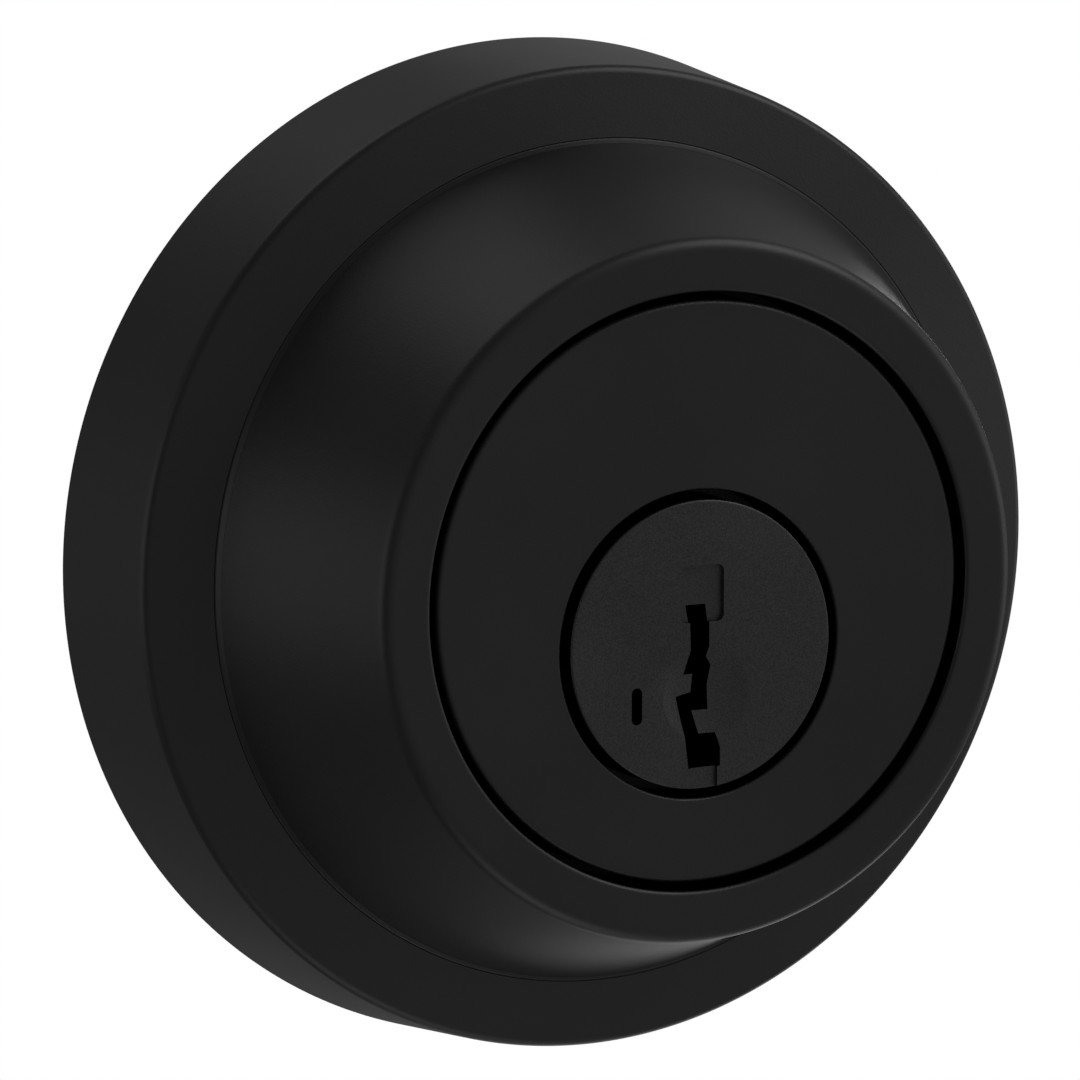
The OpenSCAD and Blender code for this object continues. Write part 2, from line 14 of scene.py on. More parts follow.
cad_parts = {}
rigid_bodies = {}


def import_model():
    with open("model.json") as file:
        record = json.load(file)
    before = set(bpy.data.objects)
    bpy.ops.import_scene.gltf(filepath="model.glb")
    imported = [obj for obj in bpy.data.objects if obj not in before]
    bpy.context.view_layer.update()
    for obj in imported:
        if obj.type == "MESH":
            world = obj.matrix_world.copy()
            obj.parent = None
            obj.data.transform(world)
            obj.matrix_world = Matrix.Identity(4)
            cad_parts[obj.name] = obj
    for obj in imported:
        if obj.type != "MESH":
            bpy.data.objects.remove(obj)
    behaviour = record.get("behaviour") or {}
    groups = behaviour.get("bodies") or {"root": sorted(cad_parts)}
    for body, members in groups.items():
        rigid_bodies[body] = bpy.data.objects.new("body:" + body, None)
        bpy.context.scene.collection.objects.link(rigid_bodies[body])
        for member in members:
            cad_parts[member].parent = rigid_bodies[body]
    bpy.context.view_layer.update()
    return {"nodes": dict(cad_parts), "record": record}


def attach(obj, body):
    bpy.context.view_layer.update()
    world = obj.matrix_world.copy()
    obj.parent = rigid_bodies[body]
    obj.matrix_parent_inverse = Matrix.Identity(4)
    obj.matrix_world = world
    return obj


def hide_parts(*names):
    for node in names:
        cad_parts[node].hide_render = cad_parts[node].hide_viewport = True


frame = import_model()

MM = 0.001
FINE_STEPS = 384
ROUND_STEPS = 192
HOLE_STEPS = 48
# How far a cutter reaches past the face that it cuts.
PAST = 1.0

# Rosette
ROSE_R = 33.35
ROSE_H = 10.5
ROSE_DRAFT = 0.85
ROSE_EDGE = 0.7
ROSE_SLOPE = 12.1
ROSE_WALL = 2.2
ROSE_FOOT_R = 31.0
ROSE_BORE_R = 30.9
BEAD_R = 30.3
LIP_R = 27.85
LIP_H = 11.5
LIP_EDGE = 0.04
FOOT_EDGE = 0.15

# Guard collar
COLLAR_H = 25.8
COLLAR_FRONT_R = 23.0
COLLAR_EDGE = 1.0
COLLAR_FOOT_R = 27.83
COLLAR_FLANGE_R = 29.5
COLLAR_FLANGE_LOW = 6.4
COLLAR_FLANGE_H = 8.0
COLLAR_HOLE_R = 19.47
COLLAR_HOLE_EDGE = 0.3
COLLAR_PLAY = 0.08
FOOT_FILLET = 0.12
FOOT_BEVEL = 0.4
FOOT_BEVEL_TILT = 37.0
FLANK_TOP_TILT = 15.0
FLANK_FOOT_TILT = 25.0

# Cylinder
FACE_H = 25.45
FACE_R = 18.9
FACE_EDGE = 0.35
BARREL_R = 20.0
BARREL_TOP = 19.0
BARREL_GAP = 0.3
FLANGE_R = 30.8
FLANGE_LOW = 3.6
FLANGE_H = 5.7
BODY_R = 18.5
BODY_REAR = 8.4
BORE_R = 9.45
COUNTERBORE_R = 10.06
COUNTERBORE_H = 21.5
COUNTERBORE_EDGE = 0.2
# The outermost part of a gap's wall, which keeps its coat and gets no painted shade.
COATED_RIM = 0.2
POST_Z = 20.5
POST_R = 4.0
POST_HOLE_R = 2.45
POST_HOLE_MOUTH_R = 2.8
POST_HOLE_END = 2.5
# Grooves about the bore: x, up, width and height, measured from the plug's axis.
SIDEBAR_GROOVES = [(-9.5, 0, 2, 2.4), (0, 9.5, 2.4, 2), (9.5, 0, 2, 2.4)]
GROOVE_LOW = 2.0
GROOVE_TOP = 21.0

# Plug. Places on its face are measured from its own axis. The tuples are x, up, width and height, and for the
# key stop a corner radius.
PLUG_Z = -3.4
PLUG_R = 9.4
PLUG_H = 25.65
PLUG_EDGE = 0.14
PLUG_BEVEL = 0.06
PLUG_REAR = 13.8
CLIP_GROOVE_R = 8.0
CLIP_GROOVE_REAR = 9.7
CLIP_GROOVE_FRONT = 8.5
KEYWAY = [
    (-1.0, 2.6), (0.45, 2.6), (0.6, 1.5), (0.6, -0.2), (0.45, -0.8), (0.85, -1.4), (0.65, -2.7), (0.7, -4.3),
    (-0.5, -4.3), (-0.1, -5.8), (1.1, -5.8), (1.4, -6.8), (1.4, -8.0), (-0.9, -8.05), (-1.2, -5.7),
    (-1.5, -4.3), (-1.7, -3.3), (-0.55, -3.1), (-0.45, -1.9), (-1.15, -1.9), (-0.75, -0.4), (-0.8, 1.5),
]
KEYWAY_LOW = -6.0
KEY_STOP = (0.08, 3.32, 3.15, 3.7, 0.45)
KEY_STOP_DEPTH = 0.3
FOOT_NOTCH = (0.25, -8.8, 1.9, 1.7)
FOOT_NOTCH_DEPTH = 0.25
TOOL_X = -4.65
TOOL_TOP = -2.85
TOOL_FOOT = -4.5
TOOL_R = 0.38
TOOL_LOW = 20.3
SIDE_POCKET = (-8.2, 0, 7.6, 7.8)
SPRING_SLOT = (0, 9.8, 3, 3)
POCKET_LOW = 1.7
POCKET_TOP = 21.3
CAVITY_R = 7.2
CAVITY_END = 10.1
DISH_X = 0.35
DISH_Z = -3.25
DISH_R = 3.2
DISH_DEPTH = 0.45

# Door and latch
DOOR_T = 44.45
BACKSET = 60.3
FACEPLATE_T = 2.4
PLATE_W = 25.4
PLATE_H = 57.2
PLATE_CORNER = 6.35
PLATE_BEVEL = 0.25
SCREW_GAP = 41.3
SCREW_HOLE_R = 2.2
SINK_R = 4.2
SINK_DEPTH = 1.8
WINDOW_GAP = 0.3
BOLT_BACK = 22.0
BOLT_R = 10.4
BOLT_T = 13.0
BOLT_BEVEL = 0.5
BOLT_BORE_R = 3.1
BOLT_BORE_L = 32.0
TUBE_R = 12.6
TUBE_WALL = 0.8
TUBE_START = 27.01
TUBE_END = 56.1

# Inside trim. Heights below are measured from the door's inside face.
INNER_ROSE_R = 33.35
INNER_ROSE_EDGE = 1.5
SET_SCREW_R = 1.25
SET_SCREW_H = 4.5
HUB_R = 9.0
SKIRT_R = 12.5
SKIRT_EDGE = 1.2
SKIRT_H = 14.5
SPINDLE_R = 5.6
SOCKET_END = 14.0
WING_L = 40.0
WING_T = 9.0
WING_FOOT = 13.2
WING_TOP = 31.0
WING_BEVEL = 0.65
CROWN_R = 34.0

# Look of the photograph's view: direction, lens and aim
VIEW_AZ = -27.23
VIEW_EL = 8.96
LENS = 333.3
SENSOR_W = 36.0
DISTANCE = 664.2
AIM_RIGHT = -1.39
AIM_UP = 0.18

# Stage, in metres
FLOOR_HALF = 30
FLOOR_Z = -0.25
FLOOR_GLOW = 0.45
BACKDROP_HALF = 4
BACKDROP_Y = 0.00005

# Lights: direction as azimuth and elevation in degrees, size in metres, power in watts
LAMP_DISTANCE = 0.8
OUTSIDE_LIGHTS = {
    "left": ((-86, 0), 0.5, 1.1),
    "left_behind": ((-117, 0), 0.5, 0.42),
    "right_above": ((63, 45), 0.5, 3.4),
    "above_behind": ((-155, 60), 0.5, 0.8),
    "right": ((82, 0), 0.5, 0.9),
    "below": ((0, -70), 0.5, 1.2),
    "right_below": ((130, -45), 0.5, 0.85),
    "right_behind": ((140, 26), 0.5, 0.16),
}
ROOM_LIGHTS = {
    "room_key": ((150, 45), 0.5, 10),
    "room_fill": ((-140, 20), 0.6, 6),
}
# The world's broad bright patch: its direction, and the cosines at which it starts and is full.
PATCH_DIRECTION = (0.42, -0.90, -0.10)
PATCH_START = 0.4
PATCH_FULL = 0.85
WORLD_FRONT = 0.58
WORLD_BEHIND = 0.2


# ---------------------------------------------------------------- mesh helpers


def arc(r, h, size, start, end, steps=10):
    """Points of a circular arc in a turned profile, angles in degrees."""
    turns = [math.radians(start + (end - start) * i / steps) for i in range(steps + 1)]
    return [(r + size * math.cos(t), h + size * math.sin(t)) for t in turns]


def supported(profile, inset=0.15, longest=0.8):
    """The closed profile with a point near each end of its long sides, which keeps their shading flat."""
    points = []
    for a, b in zip(profile, profile[1:] + profile[:1]):
        points.append(a)
        length = math.dist(a, b)
        if length > longest:
            for share in (inset / length, 1 - inset / length):
                points.append((a[0] + (b[0] - a[0]) * share, a[1] + (b[1] - a[1]) * share))
    return points


def new_object(name, mesh):
    obj = bpy.data.objects.new(name, mesh)
    bpy.context.collection.objects.link(obj)
    return obj


def lathe(name, profile, z=0.0, steps=256):
    """A closed profile of (radius, height) turned about the line that leaves the door at height z."""
    bm = bmesh.new()
    rings = []
    for r, h in profile:
        if r < 1e-6:
            rings.append([bm.verts.new((0, -h * MM, z * MM))] * steps)
            continue
        turns = [2 * math.pi * i / steps for i in range(steps)]
        places = [(r * math.cos(t) * MM, -h * MM, (z + r * math.sin(t)) * MM) for t in turns]
        rings.append([bm.verts.new(place) for place in places])
    for ring, after in zip(rings, rings[1:] + rings[:1]):
        for i in range(steps):
            j = (i + 1) % steps
            corners = list(dict.fromkeys([ring[i], ring[j], after[j], after[i]]))
            if len(corners) > 2:
                bm.faces.new(corners)
    bmesh.ops.recalc_face_normals(bm, faces=bm.faces)
    mesh = bpy.data.meshes.new(name)
    bm.to_mesh(mesh)
    bm.free()
    return new_object(name, mesh)


def prism(name, outline, low, high, z=0.0):
    """An outline of (x, z) points, extruded from height low to height high."""
    bm = bmesh.new()
    ends = [[bm.verts.new((x * MM, -h * MM, (z + up) * MM)) for x, up in outline] for h in (low, high)]
    bm.faces.new(ends[0])
    bm.faces.new(ends[1])
    for i in range(len(outline)):
        j = (i + 1) % len(outline)
        bm.faces.new((ends[0][i], ends[0][j], ends[1][j], ends[1][i]))
    bmesh.ops.recalc_face_normals(bm, faces=bm.faces)
    mesh = bpy.data.meshes.new(name)
    bm.to_mesh(mesh)
    bm.free()
    return new_object(name, mesh)


def box_outline(x, z, width, height, corner=0.0, steps=6):
    """A rectangle about (x, z) with round corners."""
    if corner == 0:
        return [(x + sx * width / 2, z + sz * height / 2) for sx, sz in ((-1, -1), (1, -1), (1, 1), (-1, 1))]
    points = []
    for start, sx, sz in ((180, -1, -1), (270, 1, -1), (0, 1, 1), (90, -1, 1)):
        cx = x + sx * (width / 2 - corner)
        cz = z + sz * (height / 2 - corner)
        points += arc(cx, cz, corner, start, start + 90, steps)
    return points


def disc_outline(x, z, r, steps=64):
    return arc(x, z, r, 0, 360 - 360 / steps, steps - 1)


def baked(obj):
    """Applies obj's modifiers to its mesh."""
    graph = bpy.context.evaluated_depsgraph_get()
    mesh = bpy.data.meshes.new_from_object(obj.evaluated_get(graph))
    obj.modifiers.clear()
    obj.data = mesh
    return obj


def combine(obj, others, operation):
    """Cuts the other solids out of obj, or joins them to it, and removes them."""
    for other in others:
        mod = obj.modifiers.new(operation.lower(), "BOOLEAN")
        mod.operation = operation
        mod.solver = "EXACT"
        mod.object = other
    baked(obj)
    for other in others:
        bpy.data.objects.remove(other)
    return obj


def finish_edges(obj, width=0.0, angle=35):
    """Rounds the sharp edges by width, and shades the rest smooth."""
    if width:
        mod = obj.modifiers.new("edges", "BEVEL")
        mod.width = width * MM
        mod.segments = 3
        mod.limit_method = "ANGLE"
        mod.angle_limit = math.radians(angle)
        mod.use_clamp_overlap = True
        mod.harden_normals = False
        baked(obj)
    for face in obj.data.polygons:
        face.use_smooth = abs(face.normal.y) < 0.99999
    obj.data.set_sharp_from_angle(angle=math.radians(angle))
    mod = obj.modifiers.new("flat_faces", "WEIGHTED_NORMAL")
    mod.keep_sharp = True
    mod.weight = 80
    return obj


# ---------------------------------------------------------------- materials


def coordinates(nodes):
    return nodes.new("ShaderNodeTexCoord").outputs["Object"]


def noise(tree, place, scale, detail=3.0, roughness=0.55):
    """Noise whose grain is about 1 / scale metres across."""
    node = tree.nodes.new("ShaderNodeTexNoise")
    node.inputs["Scale"].default_value = scale
    node.inputs["Detail"].default_value = detail
    node.inputs["Roughness"].default_value = roughness
    tree.links.new(place, node.inputs["Vector"])
    return node.outputs["Fac"]


def spread(tree, value, low, high, start=0.3, end=0.7):
    """Maps the value's range start to end onto low to high."""
    node = tree.nodes.new("ShaderNodeMapRange")
    node.inputs["From Min"].default_value = start
    node.inputs["From Max"].default_value = end
    node.inputs["To Min"].default_value = low
    node.inputs["To Max"].default_value = high
    tree.links.new(value, node.inputs["Value"])
    return node.outputs["Result"]


def blend_colours(tree, factor, dark, light):
    node = tree.nodes.new("ShaderNodeMix")
    node.data_type = "RGBA"
    node.inputs["A"].default_value = (*dark, 1)
    node.inputs["B"].default_value = (*light, 1)
    tree.links.new(factor, node.inputs["Factor"])
    return node.outputs["Result"]


def bump(tree, height, strength, depth, before=None):
    """Bump of depth millimetres, on top of an earlier one."""
    node = tree.nodes.new("ShaderNodeBump")
    node.inputs["Strength"].default_value = strength
    node.inputs["Distance"].default_value = depth * MM
    tree.links.new(height, node.inputs["Height"])
    if before is not None:
        tree.links.new(before, node.inputs["Normal"])
    return node.outputs["Normal"]


def soft_edge(tree, radius):
    """Normal that rounds sharp edges by a radius in millimetres."""
    node = tree.nodes.new("ShaderNodeBevel")
    node.samples = 4
    node.inputs["Radius"].default_value = radius * MM
    return node.outputs["Normal"]


def shader(name):
    material = bpy.data.materials.new(name)
    material.use_nodes = True
    return material, material.node_tree, material.node_tree.nodes["Principled BSDF"]


def coated(name, dark, light, grain, grain_depth, rough=(0.38, 0.46), specular=0.22):
    """Powder-coated metal: fine grain over a faint orange peel. A specular pair varies with the grain."""
    material, tree, bsdf = shader(name)
    place = coordinates(tree.nodes)
    fine = noise(tree, place, grain, 2.0, 0.6)
    peel = noise(tree, place, 900, 2.0)
    patches = noise(tree, place, 55, 3.0)
    tint = tree.nodes.new("ShaderNodeMath")
    tint.operation = "MULTIPLY_ADD"
    tint.inputs[1].default_value = 0.55
    tree.links.new(fine, tint.inputs[0])
    tree.links.new(spread(tree, patches, 0, 0.45), tint.inputs[2])
    tree.links.new(blend_colours(tree, tint.outputs[0], dark, light), bsdf.inputs["Base Color"])
    tree.links.new(spread(tree, patches, *rough), bsdf.inputs["Roughness"])
    rough_peel = bump(tree, peel, 0.12, 0.02)
    tree.links.new(bump(tree, fine, 0.8, grain_depth, rough_peel), bsdf.inputs["Normal"])
    if isinstance(specular, tuple):
        tree.links.new(spread(tree, fine, *specular), bsdf.inputs["Specular IOR Level"])
    else:
        bsdf.inputs["Specular IOR Level"].default_value = specular
    return material


def plated(name, dark, light, rough=(0.24, 0.36), brushed=(1, 1, 1), edge=0.12, depth=0.004):
    """Plated or polished metal: faint cloudy tone, fine scratches along one direction and rounded edges."""
    material, tree, bsdf = shader(name)
    place = coordinates(tree.nodes)
    stretch = tree.nodes.new("ShaderNodeMapping")
    stretch.inputs["Scale"].default_value = brushed
    tree.links.new(place, stretch.inputs["Vector"])
    scratches = noise(tree, stretch.outputs["Vector"], 2600, 3.0, 0.7)
    clouds = noise(tree, place, 160, 3.0)
    tree.links.new(blend_colours(tree, spread(tree, clouds, 0, 1), dark, light), bsdf.inputs["Base Color"])
    tree.links.new(spread(tree, scratches, *rough), bsdf.inputs["Roughness"])
    tree.links.new(bump(tree, scratches, 0.35, depth, soft_edge(tree, edge)), bsdf.inputs["Normal"])
    bsdf.inputs["Metallic"].default_value = 1.0
    return material


def moulded(name, dark, light, rough=(0.40, 0.52)):
    """Moulded plastic with a faint texture."""
    material, tree, bsdf = shader(name)
    place = coordinates(tree.nodes)
    texture = noise(tree, place, 2400, 2.0)
    clouds = noise(tree, place, 90, 2.0)
    tree.links.new(blend_colours(tree, spread(tree, clouds, 0, 1), dark, light), bsdf.inputs["Base Color"])
    tree.links.new(spread(tree, texture, *rough), bsdf.inputs["Roughness"])
    tree.links.new(bump(tree, texture, 0.2, 0.01, soft_edge(tree, 0.15)), bsdf.inputs["Normal"])
    return material


def hollow(name):
    """Painted shade: an unlit black for the walls of narrow gaps and of the keyway, standing in for the shade
    where the coat catches no light.
    """
    material, tree, bsdf = shader(name)
    grain = noise(tree, coordinates(tree.nodes), 3000)
    painted_shade_tone = blend_colours(tree, grain, (0.0006, 0.0006, 0.0006), (0.0014, 0.0014, 0.0014))
    tree.links.new(painted_shade_tone, bsdf.inputs["Base Color"])
    bsdf.inputs["Roughness"].default_value = 1.0
    bsdf.inputs["Specular IOR Level"].default_value = 0.0
    return material


# Painted shade: the unlit black that is put on the walls of the gaps in place of their shade.
PAINTED_GAP_SHADE = hollow("painted_shade_black")

MATERIALS = {
    "black": coated("black_coat", (0.0035, 0.0034, 0.0037), (0.0100, 0.0096, 0.0101), 7000, 0.014),
    "plug_black": coated(
        "plug_coat", (0.0030, 0.0028, 0.0030), (0.0190, 0.0185, 0.0188), 10500, 0.02, specular=(0.18, 0.38)),
    "zinc_steel": plated("zinc_plate", (0.55, 0.56, 0.57), (0.66, 0.66, 0.67)),
    "bolt_steel": plated(
        "bolt_plate", (0.58, 0.58, 0.58), (0.68, 0.67, 0.66), (0.22, 0.34), (0.05, 1, 1), 0.25),
    "hard_steel": plated("hardened_steel", (0.28, 0.28, 0.29), (0.38, 0.37, 0.37), (0.28, 0.42)),
    "spring_steel": plated("spring_steel", (0.44, 0.44, 0.45), (0.56, 0.56, 0.57), (0.20, 0.32)),
    "brass": plated("machined_brass", (0.66, 0.48, 0.20), (0.78, 0.60, 0.28), (0.22, 0.34), (1, 0.1, 1)),
    "nylon": moulded("natural_nylon", (0.66, 0.65, 0.60), (0.76, 0.75, 0.70)),
    "adapter_plastic": moulded("black_plastic", (0.018, 0.018, 0.019), (0.030, 0.030, 0.031)),
}


def dress(obj, slot_name):
    obj.data.materials.clear()
    obj.data.materials.append(MATERIALS[slot_name])


def paint_gap_shade(obj, face_h, low, reach):
    """Paints shade: gives the walls that go down from the front face within reach of the axis an unlit black,
    which stands in for the shade in the gaps.
    """
    obj.data.materials.append(PAINTED_GAP_SHADE)
    for face in obj.data.polygons:
        h = -face.center.y / MM
        steep = abs(face.normal.y) < 0.2
        r = math.hypot(face.center.x, face.center.z) / MM
        if steep and low < h < face_h - COATED_RIM and r < reach:
            face.material_index = 1


# ---------------------------------------------------------------- turned trim


def make_rosette():
    """Shell with a drafted wall, a rising front and a snap bead inside its rim."""
    under = ROSE_H - ROSE_WALL
    profile = [(ROSE_FOOT_R, 0), (ROSE_R - FOOT_EDGE, 0), (ROSE_R, FOOT_EDGE)]
    profile += arc(ROSE_R - ROSE_DRAFT - ROSE_EDGE, ROSE_H - ROSE_EDGE, ROSE_EDGE, 5, 90 - ROSE_SLOPE, 14)
    profile += [(LIP_R + LIP_EDGE, LIP_H), (LIP_R, LIP_H - LIP_EDGE), (LIP_R, under), (ROSE_BORE_R, under)]
    profile += [(ROSE_BORE_R, 3.5), (BEAD_R, 3.3), (BEAD_R, 2.7), (ROSE_FOOT_R, 2.4)]
    return finish_edges(lathe("rosette_shell", supported(profile), steps=FINE_STEPS))


def towards(start, size, angle):
    """The point at a distance from start in the direction of an angle, in a turned profile."""
    turn = math.radians(angle)
    return (start[0] + size * math.cos(turn), start[1] + size * math.sin(turn))


def make_collar():
    """Trumpet-shaped ring: a narrow bevel leads from the rosette's front into the hollow flank."""
    lean = 90 - ROSE_SLOPE
    fillet = towards((COLLAR_FOOT_R, LIP_H), FOOT_FILLET, lean)
    bevel = towards(fillet, -FOOT_FILLET, FOOT_BEVEL_TILT)
    foot = towards(bevel, FOOT_BEVEL, 90 + FOOT_BEVEL_TILT)
    edge = (COLLAR_FRONT_R - COLLAR_EDGE, COLLAR_H - COLLAR_EDGE)
    top = towards(edge, COLLAR_EDGE, FLANK_TOP_TILT)
    inwards = towards((0, 0), 1, FLANK_TOP_TILT)
    across = (foot[0] - top[0]) * inwards[0] + (foot[1] - top[1]) * inwards[1]
    flank = math.dist(foot, top) ** 2 / (2 * across)
    centre = towards(top, flank, FLANK_TOP_TILT)
    bore = BARREL_R + COLLAR_PLAY
    profile = [(bore, COLLAR_FLANGE_LOW), (COLLAR_FLANGE_R, COLLAR_FLANGE_LOW)]
    profile += [(COLLAR_FLANGE_R, COLLAR_FLANGE_H), (COLLAR_FOOT_R, COLLAR_FLANGE_H)]
    profile += arc(*fillet, FOOT_FILLET, 180 + lean, 180 + FOOT_BEVEL_TILT, 6)
    profile += [towards(bevel, part * FOOT_BEVEL, 90 + FOOT_BEVEL_TILT) for part in (0.1, 0.5, 0.9)]
    profile += arc(*centre, flank, 180 + FLANK_FOOT_TILT, 180 + FLANK_TOP_TILT, 40)[:-1]
    profile += arc(*edge, COLLAR_EDGE, FLANK_TOP_TILT, 90, 16)
    mouth = (COLLAR_HOLE_R + COLLAR_HOLE_EDGE, COLLAR_H - COLLAR_HOLE_EDGE)
    profile += arc(*mouth, COLLAR_HOLE_EDGE, 90, 180, 6)
    profile += [(COLLAR_HOLE_R, BARREL_TOP + BARREL_GAP), (bore, BARREL_TOP + BARREL_GAP)]
    return finish_edges(lathe("guard_collar_ring", supported(profile), steps=FINE_STEPS))


def make_cylinder():
    """Housing with a flange and two screw posts, bored for the plug and grooved for the sidebar."""
    rear = -BODY_REAR
    profile = [(0, rear), (BODY_R - 0.3, rear), (BODY_R, rear + 0.3), (BODY_R, FLANGE_LOW)]
    profile += [(FLANGE_R, FLANGE_LOW), (FLANGE_R, FLANGE_H), (BARREL_R, FLANGE_H)]
    profile += [(BARREL_R, BARREL_TOP), (FACE_R, BARREL_TOP)]
    profile += arc(FACE_R - FACE_EDGE, FACE_H - FACE_EDGE, FACE_EDGE, 0, 90, 8)
    profile += [(0, FACE_H)]
    body = lathe("cylinder_housing", supported(profile), steps=FINE_STEPS)
    post = [(0, rear), (POST_R - 0.25, rear), (POST_R, rear + 0.25), (POST_R, 4), (0, 4)]
    combine(body, [lathe("post", post, side * POST_Z, 64) for side in (-1, 1)], "UNION")
    mouth = COUNTERBORE_R + COUNTERBORE_EDGE
    bore = [(0, rear - PAST), (BORE_R, rear - PAST), (BORE_R, COUNTERBORE_H), (COUNTERBORE_R, COUNTERBORE_H)]
    bore += arc(mouth, FACE_H - COUNTERBORE_EDGE, COUNTERBORE_EDGE, 180, 90, 5)[:-1]
    bore += [(mouth, FACE_H + 0.001), (mouth, FACE_H + PAST), (0, FACE_H + PAST)]
    cuts = [lathe("bore", bore, PLUG_Z, 256)]
    hole = [(0, rear - PAST), (POST_HOLE_MOUTH_R, rear - PAST), (POST_HOLE_MOUTH_R, rear)]
    hole += [(POST_HOLE_R, rear + 0.35), (POST_HOLE_R, POST_HOLE_END), (0, POST_HOLE_END)]
    cuts += [lathe("post_hole", hole, side * POST_Z, HOLE_STEPS) for side in (-1, 1)]
    for groove in SIDEBAR_GROOVES:
        cuts.append(prism("sidebar_groove", box_outline(*groove), GROOVE_LOW, GROOVE_TOP, PLUG_Z))
    combine(body, cuts, "DIFFERENCE")
    return finish_edges(body)


# ---------------------------------------------------------------- key plug


def make_plug():
    """Turned plug with its keyway, the marks on its face and the pockets for the parts inside it."""
    over = PLUG_H + PAST
    profile = [(0, -PLUG_REAR), (PLUG_R - 0.2, -PLUG_REAR), (PLUG_R, 0.2 - PLUG_REAR)]
    profile += [(PLUG_R, -CLIP_GROOVE_REAR), (CLIP_GROOVE_R, -CLIP_GROOVE_REAR)]
    profile += [(CLIP_GROOVE_R, -CLIP_GROOVE_FRONT), (PLUG_R, -CLIP_GROOVE_FRONT)]
    profile += arc(PLUG_R - PLUG_EDGE, PLUG_H - PLUG_EDGE, PLUG_EDGE, 0, 90, 6)
    profile += [(0, PLUG_H)]
    plug = lathe("key_plug", supported(profile), PLUG_Z, 256)
    slot = arc(TOOL_X, TOOL_TOP, TOOL_R, 0, 180, 12) + arc(TOOL_X, TOOL_FOOT, TOOL_R, 180, 360, 12)
    cuts = [
        prism("keyway", KEYWAY, KEYWAY_LOW, over, PLUG_Z),
        prism("key_stop", box_outline(*KEY_STOP), PLUG_H - KEY_STOP_DEPTH, over, PLUG_Z),
        prism("tool_slot", slot, TOOL_LOW, over, PLUG_Z),
        prism("side_pocket", box_outline(*SIDE_POCKET), POCKET_LOW, POCKET_TOP, PLUG_Z),
        prism("spring_slot", box_outline(*SPRING_SLOT), POCKET_LOW, POCKET_TOP, PLUG_Z),
        prism("rear_cavity", disc_outline(0, 0, CAVITY_R), -15, -CAVITY_END, PLUG_Z),
        prism("foot_notch", box_outline(*FOOT_NOTCH), PLUG_H - FOOT_NOTCH_DEPTH, over, PLUG_Z),
        dimple(),
    ]
    combine(plug, cuts, "DIFFERENCE")
    return finish_edges(plug, PLUG_BEVEL, 40)


def dimple():
    """A shallow spherical dish about the middle of the keyway."""
    ball = (DISH_R * DISH_R + DISH_DEPTH * DISH_DEPTH) / (2 * DISH_DEPTH)
    sweep = math.degrees(math.asin(DISH_R / ball))
    profile = [(DISH_R, PLUG_H + 0.5), (0, PLUG_H + 0.5)]
    profile += arc(0, PLUG_H - DISH_DEPTH + ball, ball, 270, 270 + sweep, 12)
    dish = lathe("dish", profile, PLUG_Z + DISH_Z, 96)
    dish.data.transform(Matrix.Translation((DISH_X * MM, 0, 0)))
    return dish


# ---------------------------------------------------------------- latch


def along_bolt(obj):
    """Turns what was built along the door's thickness to the bolt's axis: heights become places along X."""
    turn = Matrix.Rotation(math.radians(90), 4, "Z")
    obj.data.transform(Matrix.Translation((0, DOOR_T / 2 * MM, 0)) @ turn)
    return obj


def bolt_outline(grow=0.0):
    """The bolt's section: a disc cut flat on two sides."""
    r = BOLT_R + grow
    cut = math.degrees(math.acos((BOLT_T / 2 + grow) / r))
    return arc(0, 0, r, cut, 180 - cut, 24) + arc(0, 0, r, 180 + cut, 360 - cut, 24)


def rod(r, low, high):
    """Profile of a plain round bar about the axis."""
    return [(0, low), (r, low), (r, high), (0, high)]


def make_bolt():
    """Bar with a bore along it for the free roller."""
    bolt = prism("bolt_bar", bolt_outline(), BOLT_BACK, BACKSET)
    bore = rod(BOLT_BORE_R, BOLT_BACK - PAST, BOLT_BACK + BOLT_BORE_L)
    combine(bolt, [lathe("bolt_bore", bore, 0, HOLE_STEPS)], "DIFFERENCE")
    return along_bolt(finish_edges(bolt, BOLT_BEVEL))


def make_faceplate():
    """Rounded edge plate with the bolt's window and two countersunk screw holes."""
    low = BACKSET - FACEPLATE_T
    plate = prism("edge_plate", box_outline(0, 0, PLATE_W, PLATE_H, PLATE_CORNER, 16), low, BACKSET)
    cuts = [prism("window", bolt_outline(WINDOW_GAP), low - PAST, BACKSET + PAST)]
    hole = [(0, low - PAST), (SCREW_HOLE_R, low - PAST), (SCREW_HOLE_R, BACKSET - SINK_DEPTH)]
    hole += [(SINK_R, BACKSET), (SINK_R, BACKSET + PAST), (0, BACKSET + PAST)]
    cuts += [lathe("screw_hole", hole, side * SCREW_GAP / 2, 64) for side in (-1, 1)]
    combine(plate, cuts, "DIFFERENCE")
    return along_bolt(finish_edges(plate, PLATE_BEVEL))


def make_tube():
    """Latch tube with one slightly rolled end; the other end is cut square."""
    bore = TUBE_R - TUBE_WALL
    profile = [(bore, TUBE_START + 0.19), (bore + 0.2, TUBE_START), (TUBE_R - 0.3, TUBE_START)]
    profile += [(TUBE_R, TUBE_START + 0.29), (TUBE_R, TUBE_END), (bore, TUBE_END)]
    return along_bolt(finish_edges(lathe("tube_shell", supported(profile), steps=ROUND_STEPS)))


# ---------------------------------------------------------------- inside trim


def indoors(profile):
    """Heights above the door's inside face, as heights above its outside face."""
    return [(r, -DOOR_T - h) for r, h in profile]


